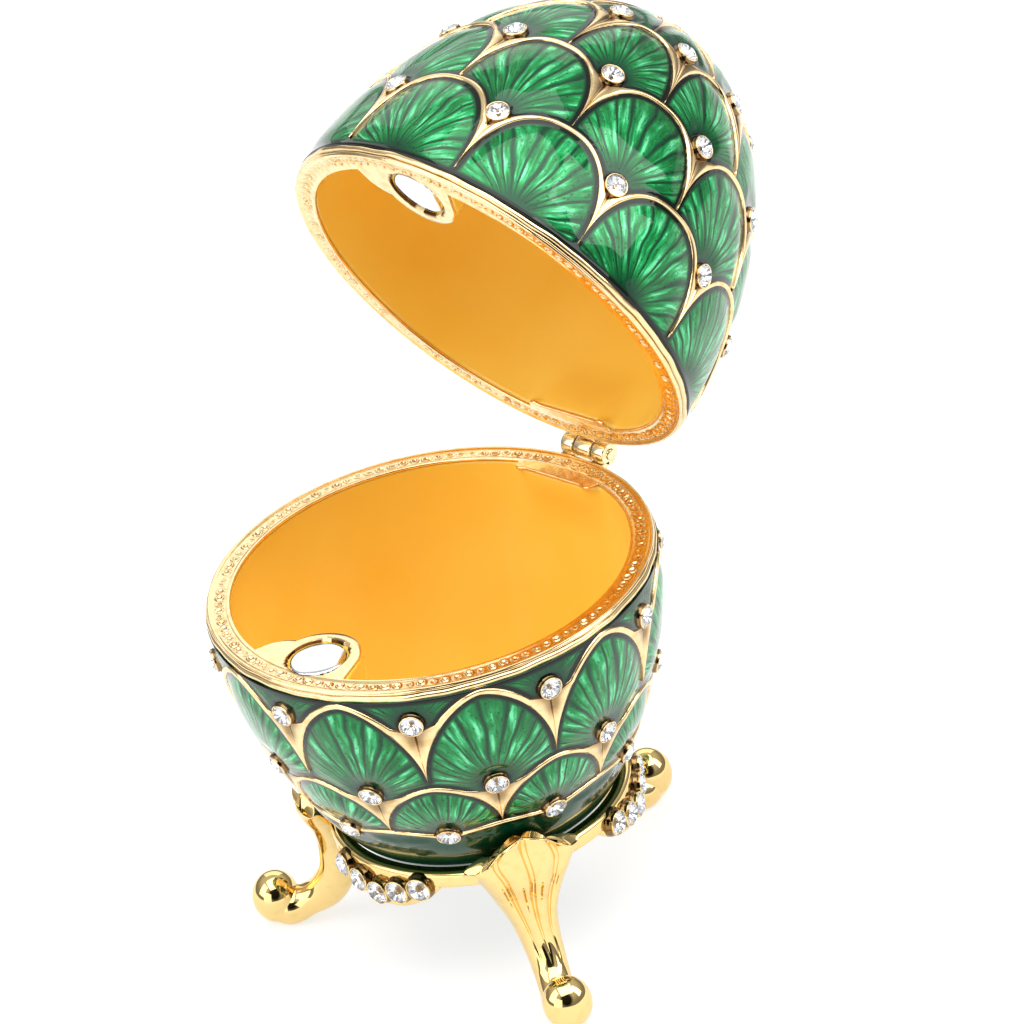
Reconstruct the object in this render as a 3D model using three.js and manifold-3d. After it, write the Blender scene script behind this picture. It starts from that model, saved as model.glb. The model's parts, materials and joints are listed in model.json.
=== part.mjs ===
// A jewelled egg trinket box on a three-legged stand, lid held open on its hinge.
// Units are millimetres and +Z is up. The egg is first built closed around its own
// upright axis, with z = 0 on the parting line between bowl and lid. Azimuth 0 faces
// -Y, the side of the magnets, and grows towards +X. The hinge is at the back, +Y.
import * as THREE from 'three';
import { mergeVertices } from 'three/addons/utils/BufferGeometryUtils.js';
import Module from 'manifold-3d';

const wasm = await Module();
wasm.setup();

// ---- driving dimensions ---------------------------------------------------------

const EGG = {
  radius: 22.4,          // enamel ground at the widest place
  widestZ: -0.7,         // the widest place lies just below the parting line
  lidHeight: 34.5,       // ellipse semi-axis above the widest place
  bowlDepth: 34.0,       // superellipse semi-axis below it
  bowlPowers: [1.7, 1.8],
  footZ: -31.0,          // the bowl is cut off flat here
  rimBand: 1.1,          // height of the bare gold rim
  partingGap: 0.2,       // left between the two rims when the lid is shut
};

const WALL = {
  mouthRadius: 20.0,     // inside of the rim
  lip: 0.9,              // straight stretch behind the rim's inner edge
  lidRise: 31.9,         // inner height of the lid
  bowlDrop: 28.6,        // inner depth of the bowl
  floorRadius: 7.0,      // flat floor inside the bowl
  segments: 24, steps: 5, // facets around and along the inside
};

const SCALES = {
  around: 10,            // scales in each row
  proud: 0.3,            // gold lines stand this far above the enamel ground
  lidPower: 2.3,         // roundness of the lid's arches
  bowlPower: 1.7,        // the bowl's arches are more pointed
  bevel: 0.5,            // enamel meets the gold over this distance
  pinch: 0.15,           // enamel left between a gold tip and the crown below it
  fillReach: 0.8,        // gold fills the gap between arches to this share of a cup's radius
  stepsPerHalf: 3,       // facets on half an arch
};

// Rows of arches from the rim outwards. crown and tip are heights (no tip: just past
// the row before), line is the gold's width, stone is the height of the stones that
// stand between the arches, and half puts the crowns on half steps.
const LID_ROWS = [
  { crown: 11.4, tip: 1.9, line: 0.7, stone: 9.3, half: 0 },
  { crown: 20.2, line: 0.7, stone: 19.7, half: 1 },
  { crown: 28.0, line: 0.65, half: 0 },
];
const BOWL_ROWS = [
  { crown: -2.1, tip: -11.6, line: 0.9, stone: -3.9, half: 1 },
  { crown: -13.0, tip: -19.2, line: 0.7, stone: -13.4, half: 0 },
];

const STONE = {
  radius: 1.2, table: 0.65, height: 0.6, sides: 6,
  cupRadius: 1.45, cupHeight: 0.75, cupRoot: 0.5, cupSides: 4, seat: 0.05,
};
const APEX_CAP = { radius: 3.4, top: 34.4, root: 32.0, sides: 12 };

const MAGNET = {
  radius: 2.75, thick: 2.0, recess: 0.35, pocket: 3.1, sides: 16,
  centre: 17.3, azimuth: 3, bossRadius: 4.3, bossDepth: 5.5, bossTaper: 3.0,
};

const HINGE = {
  axisY: 23.9, openDeg: 67.2,
  knuckle: 1.2, pin: 0.5, bore: 0.62, sides: 10,
  lidLength: 2.2, outerLength: 1.6, play: 0.15, pinProud: 0.2,
  leafThick: 0.7, leafDown: 0.9, leafEnd: 19.4, slotPlay: 0.15,
  bossWidth: 10, bossInner: 18.4, bossDepth: 4,
};

const RING = { inner: 13.9, outer: 15.3, topZ: -26.1, height: 1.7, edge: 0.35, segments: 24 };

const LEG = {
  azimuths: [-60, 60, 180],
  floorZ: -41.0,         // underside of the feet
  flutes: 0.45,          // how far the leaf's flutes stand out at its top
  tips: 0.6,             // how far each flute's tip rises over the leaf's edge
  sideDrop: 2.8,         // the leaf's edge falls this far at its sides
  leafRings: 4,          // the flutes and the leaf's edge fade out over these rings
  // The leg's middle line with half its depth and half its width, from the top down.
  line: [
    { r: 17.5, z: -22.1, depth: 0.45, width: 4.9 },
    { r: 17.25, z: -23.2, depth: 0.95, width: 5.9 },
    { r: 16.9, z: -24.6, depth: 1.6, width: 6.0 },
    { r: 16.5, z: -26.4, depth: 1.95, width: 5.0 },
    { r: 16.0, z: -29.0, depth: 1.75, width: 3.7 },
    { r: 15.9, z: -32.0, depth: 1.8, width: 2.5 },
    { r: 16.35, z: -35.0, depth: 1.9, width: 2.0 },
    { r: 18.0, z: -37.4, depth: 1.9, width: 1.8 },
    { r: 20.2, z: -38.7, depth: 1.7, width: 1.8 },
    { r: 22.2, z: -39.3, depth: 2.3, width: 2.2 },
    { r: 24.0, z: -39.1, depth: 1.7, width: 1.7 },
  ],
  ball: { r: 23.6, z: -38.2, across: 2.5, out: 2.4, up: 2.75, sides: 8, rows: 5 },
};

const SWAG = {
  names: ['front', 'right', 'left'],
  azimuths: [0, 120, 240],
  stones: 5, step: 9.3, seatRadius: 15.25, stoneScale: 1.2, sides: 8,
  endZ: -27.6, middleZ: -28.9,
  backInner: 14.1, backOuter: 15.2, backTop: -26.9, backEnd: -28.0, backMiddle: -30.8,
  halfSpan: 26, steps: 6,
};

// ---- materials ------------------------------------------------------------------

function metal(color, roughness) {
  return new THREE.MeshStandardMaterial({ color, roughness, metalness: 1 });
}
const greenEnamel = new THREE.MeshStandardMaterial({ color: 0x1a8a4a, roughness: 0.2, metalness: 0.4 });
const standGold = metal(0xe8c765, 0.14);
const hingeGold = metal(0xf3dfae, 0.2);
const magnetNickel = metal(0xdfe2e8, 0.2);
const crystal = new THREE.MeshStandardMaterial({ color: 0xf4f6fb, roughness: 0.03, metalness: 0 });

// ---- solids ---------------------------------------------------------------------

const rad = THREE.MathUtils.degToRad;

function onCircle(r, azimuth, z) {
  return new THREE.Vector3(r * Math.sin(rad(azimuth)), -r * Math.cos(rad(azimuth)), z);
}

// A closed geometry as a manifold, with its faces turned outwards.
function solid(geometry) {
  const bare = geometry.clone();
  bare.deleteAttribute('normal');
  bare.deleteAttribute('uv');
  const merged = mergeVertices(bare, 1e-5);
  const points = merged.attributes.position;
  const corner = (i) => new THREE.Vector3().fromBufferAttribute(points, i);
  const faces = [];
  let volume = 0;
  for (let i = 0; i < merged.index.count; i += 3) {
    const [a, b, c] = [0, 1, 2].map((n) => merged.index.getX(i + n));
    if (a === b || b === c || c === a) continue;
    faces.push([a, b, c]);
    volume += corner(a).dot(corner(b).cross(corner(c)));
  }
  const triVerts = new Uint32Array((volume < 0 ? faces.map(([a, b, c]) => [a, c, b]) : faces).flat());
  const vertProperties = new Float32Array(points.array);
  return new wasm.Manifold(new wasm.Mesh({ numProp: 3, vertProperties, triVerts }));
}

function geometryOf(manifold) {
  const mesh = manifold.getMesh();
  const geometry = new THREE.BufferGeometry();
  geometry.setAttribute('position', new THREE.BufferAttribute(mesh.vertProperties, 3));
  geometry.setIndex(new THREE.BufferAttribute(mesh.triVerts, 1));
  geometry.computeVertexNormals();
  return geometry;
}

const union = (solids) => solids.reduce((sum, next) => sum.add(next));

// A closed skin over rings of points; a fan closes the first and the last ring.
function skin(rings) {
  const across = rings[0].length;
  const middle = (ring) => ring.reduce((sum, p) => sum.add(p), new THREE.Vector3()).divideScalar(across);
  const points = [...rings.flat(), middle(rings[0]), middle(rings.at(-1))];
  const firstMiddle = rings.length * across;
  const lastRing = firstMiddle - across;
  const index = [];
  for (let j = 0; j < across; j++) {
    const k = (j + 1) % across;
    for (let a = 0; a < lastRing; a += across) {
      const b = a + across;
      index.push(a + j, a + k, b + k, a + j, b + k, b + j);
    }
    index.push(firstMiddle, k, j);
    index.push(firstMiddle + 1, lastRing + j, lastRing + k);
  }
  const geometry = new THREE.BufferGeometry().setFromPoints(points);
  geometry.setIndex(index);
  return geometry;
}

function lathe(profile, segments) {
  const points = profile.map(([r, z]) => new THREE.Vector2(r, z));
  return new THREE.LatheGeometry(points, segments).rotateX(Math.PI / 2);
}

function box([x0, x1], [y0, y1], [z0, z1]) {
  return new THREE.BoxGeometry(x1 - x0, y1 - y0, z1 - z0)
    .translate((x0 + x1) / 2, (y0 + y1) / 2, (z0 + z1) / 2);
}

// An upright prism or frustum from z0 to z1 around a point.
function post(at, z0, z1, bottom, top, sides) {
  return new THREE.CylinderGeometry(top, bottom, z1 - z0, sides)
    .rotateX(Math.PI / 2)
    .translate(at.x, at.y, (z0 + z1) / 2);
}

// A short frustum that stands on a place, along a direction, between two heights.
function frustum(at, along, from, to, bottom, top, sides) {
  const turn = new THREE.Quaternion().setFromUnitVectors(new THREE.Vector3(0, 1, 0), along);
  return new THREE.CylinderGeometry(top, bottom, to - from, sides)
    .translate(0, (from + to) / 2, 0)
    .applyQuaternion(turn)
    .translate(at.x, at.y, at.z);
}

// ---- the egg's outline ----------------------------------------------------------

function lidRadius(z) {
  return EGG.radius * Math.sqrt(1 - ((z - EGG.widestZ) / EGG.lidHeight) ** 2);
}

function superRadius(down, radius, depth) {
  const [p, q] = EGG.bowlPowers;
  return radius * (1 - (Math.max(0, down) / depth) ** p) ** (1 / q);
}

function bowlRadius(z) {
  return superRadius(EGG.widestZ - z, EGG.radius, EGG.bowlDepth);
}

// An outline walked from the parting line to its end: height and distance give each
// other, and a place on it is an azimuth, a distance and a lift along the normal.
class Outline {
  constructor(radiusAt, endZ) {
    this.radiusAt = radiusAt;
    this.way = Math.sign(endZ);
    const start = EGG.partingGap / 2;
    const steps = 400;
    this.table = [{ up: start, s: 0 }];
    for (let i = 1; i <= steps; i++) {
      const up = start + (Math.abs(endZ) - start) * Math.sin((i / steps) * Math.PI / 2);
      const last = this.table.at(-1);
      const across = radiusAt(up * this.way) - radiusAt(last.up * this.way);
      this.table.push({ up, s: last.s + Math.hypot(up - last.up, across) });
    }
    this.length = this.table.at(-1).s;
  }

  look(from, to, value) {
    const found = this.table.findIndex((t) => t[from] >= value);
    const i = found < 0 ? this.table.length - 1 : Math.max(1, found);
    const [a, b] = [this.table[i - 1], this.table[i]];
    return a[to] + (b[to] - a[to]) * (value - a[from]) / (b[from] - a[from]);
  }

  distance(z) {
    return this.look('up', 's', z * this.way);
  }

  height(s) {
    return this.look('s', 'up', s) * this.way;
  }

  normal(azimuth, s) {
    const reach = 0.05;
    const [a, b] = [Math.max(0, s - reach), Math.min(this.length, s + reach)].map((t) => this.height(t));
    const slope = new THREE.Vector2(Math.abs(b - a), -this.way * (this.radiusAt(b) - this.radiusAt(a)));
    slope.normalize();
    return onCircle(slope.x, azimuth, slope.y);
  }

  point(azimuth, s, lift) {
    const z = this.height(s);
    return onCircle(this.radiusAt(z), azimuth, z).addScaledVector(this.normal(azimuth, s), lift);
  }
}

const lidOutline = new Outline(lidRadius, EGG.widestZ + EGG.lidHeight);
const bowlOutline = new Outline(bowlRadius, EGG.footZ);

// ---- the pattern of scales ------------------------------------------------------

const PITCH = 360 / SCALES.around;

// Columns crowd a little towards the crowns and the tips, where the arches turn.
const columns = [];
for (let half = 0; half < SCALES.around * 2; half++) {
  for (let i = 0; i < SCALES.stepsPerHalf; i++) {
    const t = i / SCALES.stepsPerHalf;
    columns.push((half + t - 0.1 * Math.sin(2 * Math.PI * t)) * PITCH / 2);
  }
}

// An arch's height over its tips: 1 at the crown, 0 at the tips.
function arch(azimuth, half, power) {
  const turns = azimuth / PITCH - half / 2;
  const off = Math.abs(turns - Math.round(turns)) * 2;
  return (1 - off ** power) ** (1 / power);
}

// The two edges of each row's gold, as distances from the parting line. On the lid the
// gold lies beyond the arch, on the bowl before it; between two arches it is filled
// as far as the stone's cup.
function goldEdges(rows, outline, power) {
  let past = 0;
  return rows.map((row) => {
    const crown = outline.distance(row.crown);
    const tip = row.tip === undefined ? past : outline.distance(row.tip);
    past = crown + row.line + SCALES.pinch;
    const arches = (azimuth) => tip + (crown - tip) * arch(azimuth, row.half, power);
    const away = outline.way;
    const hasStone = row.stone !== undefined;
    const fill = hasStone ? outline.distance(row.stone) - away * STONE.cupRadius * SCALES.fillReach : 0;
    const back = (azimuth) => {
      const plain = arches(azimuth) + away * row.line;
      if (!hasStone) return plain;
      return away > 0 ? Math.max(plain, fill) : Math.min(plain, fill);
    };
    return outline.way > 0 ? [arches, back] : [back, arches];
  });
}

// Rings from the rim outwards: the rim's bare band, then for each row enamel sunk
// between two gold edges.
function scaleRings(outline, edges) {
  const rings = [];
  const addRing = (s, lift) => rings.push(columns.map((az) => outline.point(az, s(az), lift(az))));
  addRing(() => 0, () => 0);
  let from = () => EGG.rimBand;
  let startLift = 0;
  for (const [near, far] of edges) {
    const start = from;
    const lift = startLift;
    const bevel = (az) => Math.min(SCALES.bevel, 0.35 * (near(az) - start(az)));
    const sunk = (az) => Math.max(0, SCALES.proud - 0.8 * bevel(az));
    addRing(start, () => lift);
    addRing((az) => start(az) + bevel(az), (az) => Math.min(lift, sunk(az)));
    addRing((az) => near(az) - bevel(az), sunk);
    addRing(near, () => SCALES.proud);
    from = far;
    startLift = SCALES.proud;
  }
  addRing(from, () => SCALES.proud);
  return rings;
}

// Plain enamel beyond the last gold, in a few steps.
function addPlain(rings, outline, gold, end, steps) {
  const start = gold + SCALES.bevel;
  for (let i = 0; i <= steps; i++) {
    const s = start + (end - start) * i / steps;
    rings.push(columns.map((azimuth) => outline.point(azimuth, s, 0)));
  }
}

function cups(rows, outline) {
  return rows.filter((row) => row.stone !== undefined).flatMap((row) => (
    stoneAzimuths(row).map((azimuth) => {
      const s = outline.distance(row.stone);
      return solid(frustum(outline.point(azimuth, s, 0), outline.normal(azimuth, s),
        -STONE.cupRoot, STONE.cupHeight, STONE.cupRadius + 0.1, STONE.cupRadius, STONE.cupSides));
    })
  ));
}

// Stones stand between the arches, half a pitch from their crowns.
function stoneAzimuths(row) {
  return Array.from({ length: SCALES.around }, (_, i) => (i + (1 - row.half) / 2) * PITCH);
}

// ---- the two cast shells --------------------------------------------------------

const hingeLength = HINGE.lidLength + 2 * (HINGE.outerLength + HINGE.play);

// What both halves have at the rim: a boss with a pocket for the magnet, and at the
// back a boss with a slot for the hinge leaf. way is +1 on the lid and -1 on the bowl.
function rimFittings(way) {
  const span = (a, b) => [Math.min(way * a, way * b), Math.max(way * a, way * b)];
  const upright = (at, depth, outer, inner, sides, start = 0) => (way > 0
    ? post(at, start, depth, outer, inner, sides)
    : post(at, -depth, -start, inner, outer, sides));
  const magnetAt = onCircle(MAGNET.centre, MAGNET.azimuth, 0);
  const wallY = WALL.mouthRadius + 1;
  const bossHalf = HINGE.bossWidth / 2;
  const pocketDepth = MAGNET.thick + MAGNET.recess;
  const [slotIn, slotOut] = [HINGE.leafEnd - HINGE.slotPlay, HINGE.axisY];
  const half = hingeLength / 2 + HINGE.slotPlay;
  const slotZ = [HINGE.leafDown - HINGE.slotPlay, HINGE.leafDown + HINGE.leafThick + HINGE.slotPlay];
  return {
    bosses: [
      solid(upright(magnetAt, MAGNET.bossDepth, MAGNET.bossRadius, MAGNET.bossTaper, MAGNET.sides)),
      solid(box([-bossHalf, bossHalf], [HINGE.bossInner, wallY], span(0, HINGE.bossDepth))),
    ],
    cuts: [
      solid(upright(magnetAt, pocketDepth, MAGNET.pocket, MAGNET.pocket, MAGNET.sides, -1)),
      solid(box([-half, half], [slotIn, slotOut], span(...slotZ))),
    ],
  };
}

function shell(outside, cavity, fittings) {
  const cast = outside.subtract(cavity.subtract(union(fittings.bosses)));
  return cast.subtract(union(fittings.cuts));
}

function lidShell() {
  const rings = scaleRings(lidOutline, goldEdges(LID_ROWS, lidOutline, SCALES.lidPower));
  const lastGold = lidOutline.distance(LID_ROWS.at(-1).crown) + LID_ROWS.at(-1).line;
  addPlain(rings, lidOutline, lastGold, lidOutline.length - APEX_CAP.radius / 2, 2);
  const cap = solid(post(new THREE.Vector3(), APEX_CAP.root, APEX_CAP.top,
    APEX_CAP.radius, APEX_CAP.radius * 0.7, APEX_CAP.sides));
  const cup = solid(post(new THREE.Vector3(), APEX_CAP.root, APEX_CAP.top + STONE.cupHeight,
    STONE.cupRadius + 0.1, STONE.cupRadius, STONE.cupSides));
  const outside = union([solid(skin(rings)), cap, cup, ...cups(LID_ROWS, lidOutline)]);
  const inside = [[0, -1], [WALL.mouthRadius, -1]];
  for (let i = 0; i <= WALL.steps; i++) {
    const turn = (i / WALL.steps) * Math.PI / 2;
    inside.push([WALL.mouthRadius * Math.cos(turn), WALL.lip + (WALL.lidRise - WALL.lip) * Math.sin(turn)]);
  }
  inside.at(-1)[0] = 0;
  return shell(outside, solid(lathe(inside, WALL.segments)), rimFittings(1));
}

function bowlShell() {
  const rings = scaleRings(bowlOutline, goldEdges(BOWL_ROWS, bowlOutline, SCALES.bowlPower));
  addPlain(rings, bowlOutline, bowlOutline.distance(BOWL_ROWS.at(-1).tip), bowlOutline.length, 2);
  const outside = union([solid(skin(rings)), ...cups(BOWL_ROWS, bowlOutline)]);
  const inside = [[0, 1], [WALL.mouthRadius, 1]];
  const depth = WALL.bowlDrop - WALL.lip;
  // The wall's outline ends where it has drawn in to the flat floor.
  const [p, q] = EGG.bowlPowers;
  const whole = depth / (1 - (WALL.floorRadius / WALL.mouthRadius) ** q) ** (1 / p);
  for (let i = 0; i <= WALL.steps; i++) {
    const down = depth * Math.sin((i / WALL.steps) * Math.PI / 2);
    inside.push([superRadius(down, WALL.mouthRadius, whole), -WALL.lip - down]);
  }
  inside.push([0, -WALL.bowlDrop]);
  return shell(outside, solid(lathe(inside, WALL.segments)), rimFittings(-1));
}

// ---- stones, magnets and hinge --------------------------------------------------

// A stone seen as a low crown: flat table, one slope, flat back.
function stone(at, along, lift, scale = 1, sides = STONE.sides) {
  const [radius, height] = [STONE.radius * scale, STONE.height * scale];
  return solid(frustum(at, along, lift, lift + height, radius, radius * STONE.table, sides));
}

function rowStones(rows, outline, prefix) {
  const seat = STONE.cupHeight + STONE.seat;
  return rows.filter((row) => row.stone !== undefined).flatMap((row, level) => {
    const s = outline.distance(row.stone);
    return stoneAzimuths(row).map((azimuth, i) => ({
      name: `${prefix}_stone_${level + 1}_${String(i + 1).padStart(2, '0')}`,
      body: stone(outline.point(azimuth, s, 0), outline.normal(azimuth, s), seat),
    }));
  });
}

function magnet(way) {
  const [near, far] = [MAGNET.recess, MAGNET.recess + MAGNET.thick - STONE.seat];
  const at = onCircle(MAGNET.centre, MAGNET.azimuth, 0);
  const [z0, z1] = way > 0 ? [near, far] : [-far, -near];
  return solid(post(at, z0, z1, MAGNET.radius, MAGNET.radius, MAGNET.sides));
}

function alongX(radius, x0, x1) {
  return solid(new THREE.CylinderGeometry(radius, radius, x1 - x0, HINGE.sides)
    .rotateZ(Math.PI / 2)
    .translate((x0 + x1) / 2, HINGE.axisY, 0));
}

const leafFace = HINGE.axisY - HINGE.knuckle - HINGE.play;

// A leaf lies in its slot and reaches out to its knuckles on the axis.
function hingeLeaf(way, knuckles) {
  const half = hingeLength / 2;
  const [z0, z1] = [way * HINGE.leafDown, way * (HINGE.leafDown + HINGE.leafThick)].sort((a, b) => a - b);
  const plate = solid(box([-half, half], [HINGE.leafEnd, leafFace], [z0, z1]));
  const bodies = knuckles.flatMap(([x0, x1]) => [
    alongX(HINGE.knuckle, x0, x1),
    solid(box([x0, x1], [HINGE.leafEnd, HINGE.axisY], [z0, z1])),
  ]);
  return union([plate, ...bodies]).subtract(alongX(HINGE.bore, -hingeLength, hingeLength));
}


// ---- stand ----------------------------------------------------------------------

function ring() {
  const { inner, outer, topZ, height, edge } = RING;
  const profile = [
    [inner, topZ], [outer - edge, topZ], [outer, topZ - edge],
    [outer, topZ - height + edge], [outer - edge, topZ - height], [inner, topZ - height], [inner, topZ],
  ];
  return solid(lathe(profile, RING.segments));
}

// A leg is a skin over rings that stand square to its middle line. Across a ring the
// outer side has four flutes; its places bend around the egg's axis.
function leg(azimuth) {
  const outer = Array.from({ length: 9 }, (_, i) => ({ u: i / 4 - 1, side: 1 }));
  const inner = [0.5, -0.5].map((u) => ({ u, side: -1 }));
  const flute = (u) => Math.abs(Math.sin(2 * Math.PI * u));
  const rings = LEG.line.map((at, k) => {
    const before = LEG.line[Math.max(0, k - 1)];
    const after = LEG.line[Math.min(LEG.line.length - 1, k + 1)];
    const out = new THREE.Vector2(before.z - after.z, after.r - before.r).normalize();
    const fade = Math.max(0, 1 - k / LEG.leafRings);
    return [...outer, ...inner].map(({ u, side }) => {
      const round = Math.sqrt(1 - u * u) * at.depth;
      const flat = at.depth * (1 - u ** 4);
      const bulge = side > 0 ? flat * fade + round * (1 - fade) + flute(u) * LEG.flutes * fade : -round;
      const r = at.r + out.x * bulge;
      const z = at.z + out.y * bulge + fade * (flute(u) * LEG.tips - Math.abs(u) ** 1.5 * LEG.sideDrop);
      return onCircle(r, azimuth + THREE.MathUtils.radToDeg(u * at.width / r), z);
    });
  });
  return solid(skin(rings));
}

function toe(azimuth) {
  const { r, z, across, out, up, sides, rows } = LEG.ball;
  const centre = onCircle(r, azimuth, z);
  return solid(new THREE.SphereGeometry(1, sides, rows)
    .rotateX(Math.PI / 2)
    .scale(across, out, up)
    .rotateZ(rad(azimuth))
    .translate(centre.x, centre.y, centre.z));
}

function swagBack(middle) {
  const rings = [];
  for (let i = 0; i <= SWAG.steps; i++) {
    const turn = (2 * i / SWAG.steps - 1);
    const bottom = SWAG.backEnd + (SWAG.backMiddle - SWAG.backEnd) * (1 - turn * turn);
    const azimuth = middle + turn * SWAG.halfSpan;
    rings.push([
      onCircle(SWAG.backInner, azimuth, SWAG.backTop), onCircle(SWAG.backOuter, azimuth, SWAG.backTop),
      onCircle(SWAG.backOuter, azimuth, bottom), onCircle(SWAG.backInner, azimuth, bottom),
    ]);
  }
  return solid(skin(rings));
}

function swagStones(middle) {
  const last = (SWAG.stones - 1) / 2;
  return union(Array.from({ length: SWAG.stones }, (_, i) => {
    const off = i - last;
    const z = SWAG.middleZ + (SWAG.endZ - SWAG.middleZ) * Math.abs(off) / last;
    const azimuth = middle + off * SWAG.step;
    const place = onCircle(SWAG.seatRadius, azimuth, z);
    return stone(place, onCircle(1, azimuth, 0), STONE.seat, SWAG.stoneScale, SWAG.sides);
  }));
}

function stand() {
  const reach = 2 * LEG.ball.r;
  const floor = solid(box([-reach, reach], [-reach, reach], [2 * LEG.floorZ, LEG.floorZ]));
  const legs = LEG.azimuths.flatMap((azimuth) => [leg(azimuth), toe(azimuth)]);
  return union([ring(), ...legs, ...SWAG.azimuths.map(swagBack)]).subtract(floor);
}

// ---- the whole egg --------------------------------------------------------------

function add(group, name, body, material) {
  const mesh = new THREE.Mesh(geometryOf(body), material);
  mesh.name = name;
  group.add(mesh);
}

function makeBase() {
  const base = new THREE.Group();
  const outerStart = HINGE.lidLength / 2 + HINGE.play;
  const outerEnd = hingeLength / 2;
  const pinEnd = outerEnd + HINGE.pinProud;
  add(base, 'base_shell', bowlShell(), greenEnamel);
  add(base, 'stand', stand(), standGold);
  add(base, 'base_magnet', magnet(-1), magnetNickel);
  add(base, 'hinge_leaf_base', hingeLeaf(-1, [[-outerEnd, -outerStart], [outerStart, outerEnd]]), hingeGold);
  add(base, 'hinge_pin', alongX(HINGE.pin, -pinEnd, pinEnd), hingeGold);
  SWAG.azimuths.forEach((azimuth, i) => {
    add(base, `swag_stones_${SWAG.names[i]}`, swagStones(azimuth), crystal);
  });
  rowStones(BOWL_ROWS, bowlOutline, 'base').forEach(({ name, body }) => add(base, name, body, crystal));
  return base;
}

// The lid is made shut and turned open around the hinge's axis.
function makeLid() {
  const lid = new THREE.Group();
  lid.position.set(0, HINGE.axisY, 0);
  lid.rotation.x = -rad(HINGE.openDeg);
  const shut = (body) => body.translate([0, -HINGE.axisY, 0]);
  const half = HINGE.lidLength / 2;
  const apexSeat = new THREE.Vector3(0, 0, APEX_CAP.top + STONE.cupHeight);
  const apex = stone(apexSeat, new THREE.Vector3(0, 0, 1), STONE.seat);
  add(lid, 'lid_shell', shut(lidShell()), greenEnamel);
  add(lid, 'lid_magnet', shut(magnet(1)), magnetNickel);
  add(lid, 'hinge_leaf_lid', shut(hingeLeaf(1, [[-half, half]])), hingeGold);
  add(lid, 'lid_stone_apex', shut(apex), crystal);
  rowStones(LID_ROWS, lidOutline, 'lid').forEach(({ name, body }) => add(lid, name, shut(body), crystal));
  return lid;
}

// The origin is under the middle of the open box, on the surface it stands on.
function trinketBox() {
  const root = new THREE.Group();
  root.add(makeBase(), makeLid());
  root.updateMatrixWorld(true);
  const bounds = new THREE.Box3().setFromObject(root, true);
  const middle = bounds.getCenter(new THREE.Vector3());
  root.position.set(-middle.x, -middle.y, -bounds.min.z);
  return root;
}

export default trinketBox();
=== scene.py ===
import json
import math
import bmesh
import bpy
import numpy as np
from mathutils import Matrix, Vector


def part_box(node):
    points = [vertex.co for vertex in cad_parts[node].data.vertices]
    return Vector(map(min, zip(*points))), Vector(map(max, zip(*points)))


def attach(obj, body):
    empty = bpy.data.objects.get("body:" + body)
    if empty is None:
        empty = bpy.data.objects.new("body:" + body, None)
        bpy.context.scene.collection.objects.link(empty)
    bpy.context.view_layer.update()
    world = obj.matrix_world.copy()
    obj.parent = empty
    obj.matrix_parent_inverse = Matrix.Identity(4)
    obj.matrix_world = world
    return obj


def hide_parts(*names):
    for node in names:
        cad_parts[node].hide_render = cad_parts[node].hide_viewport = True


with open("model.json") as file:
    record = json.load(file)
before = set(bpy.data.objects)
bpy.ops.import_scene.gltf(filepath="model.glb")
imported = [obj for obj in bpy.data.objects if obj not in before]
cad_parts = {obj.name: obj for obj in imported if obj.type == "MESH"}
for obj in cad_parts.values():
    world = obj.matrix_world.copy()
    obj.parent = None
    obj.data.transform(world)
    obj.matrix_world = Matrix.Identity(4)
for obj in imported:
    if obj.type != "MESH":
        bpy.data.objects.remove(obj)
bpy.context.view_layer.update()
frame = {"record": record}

# The box is worked out shut, in millimetres, around the bowl's upright axis, with z = 0
# on the parting line. Azimuth 0 faces -Y and grows towards +X. way is +1 on the lid and
# -1 on the bowl. place() then sets the points in the frame and turns the lid open.
joint = next(j for j in frame["record"]["behaviour"]["joints"] if j["name"] == "lid_hinge")
openAngle = math.radians(-joint["range_deg"][0])
bowlLow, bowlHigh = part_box("base_shell")
axisX = (bowlLow.x + bowlHigh.x) / 2
hingeY = 23.9
axisY = joint["pos_m"][1] - hingeY / 1000
partingZ = joint["pos_m"][2]


def place(points, half):
    x, y, z = np.asarray(points, float).reshape(-1, 3).T
    if half == "lid":  # turned about the hinge: y' = y cos a + z sin a, z' = z cos a - y sin a
        c, s = math.cos(openAngle), math.sin(openAngle)
        y, z = hingeY + (y - hingeY) * c + z * s, z * c - (y - hingeY) * s
    return np.column_stack([x / 1000 + axisX, y / 1000 + axisY, z / 1000 + partingZ])


def linear(hexValue):
    parts = [int(hexValue[i:i + 2], 16) / 255 for i in (1, 3, 5)]
    return [p / 12.92 if p <= 0.04045 else ((p + 0.055) / 1.055) ** 2.4 for p in parts] + [1]


def polar(r, azimuth, z):  # radius, azimuth and height to x, y, z
    return np.stack(np.broadcast_arrays(r * np.sin(azimuth), -r * np.cos(azimuth), z), -1)


def evenAngles(count):
    return np.arange(count) * 2 * np.pi / count


def smooth(a, b, x):
    t = np.clip((x - a) / (b - a), 0, 1)
    return t * t * (3 - 2 * t)


def addNode(tree, kind, inputs=None, links=None, stops=(), **settings):  # stops are a colour ramp's
    node = tree.nodes.new(kind)
    for key, value in settings.items():
        setattr(node, key, value)
    for key, value in (inputs or {}).items():
        node.inputs[key].default_value = value
    for key, socket in (links or {}).items():
        tree.links.new(socket, node.inputs[key])
    while stops and len(node.color_ramp.elements) < len(stops):
        node.color_ramp.elements.new(0.5)
    for number, (position, colour) in enumerate(stops):
        element = node.color_ramp.elements[number]
        element.position = position
        element.color = linear(colour) if isinstance(colour, str) else [colour, colour, colour, 1]
    return node


def newMaterial(name, **principled):
    material = bpy.data.materials.new(name)
    material.use_nodes = True
    shader = material.node_tree.nodes["Principled BSDF"]
    for key, value in principled.items():
        shader.inputs[key.replace("_", " ")].default_value = value
    return material, material.node_tree, shader


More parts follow.
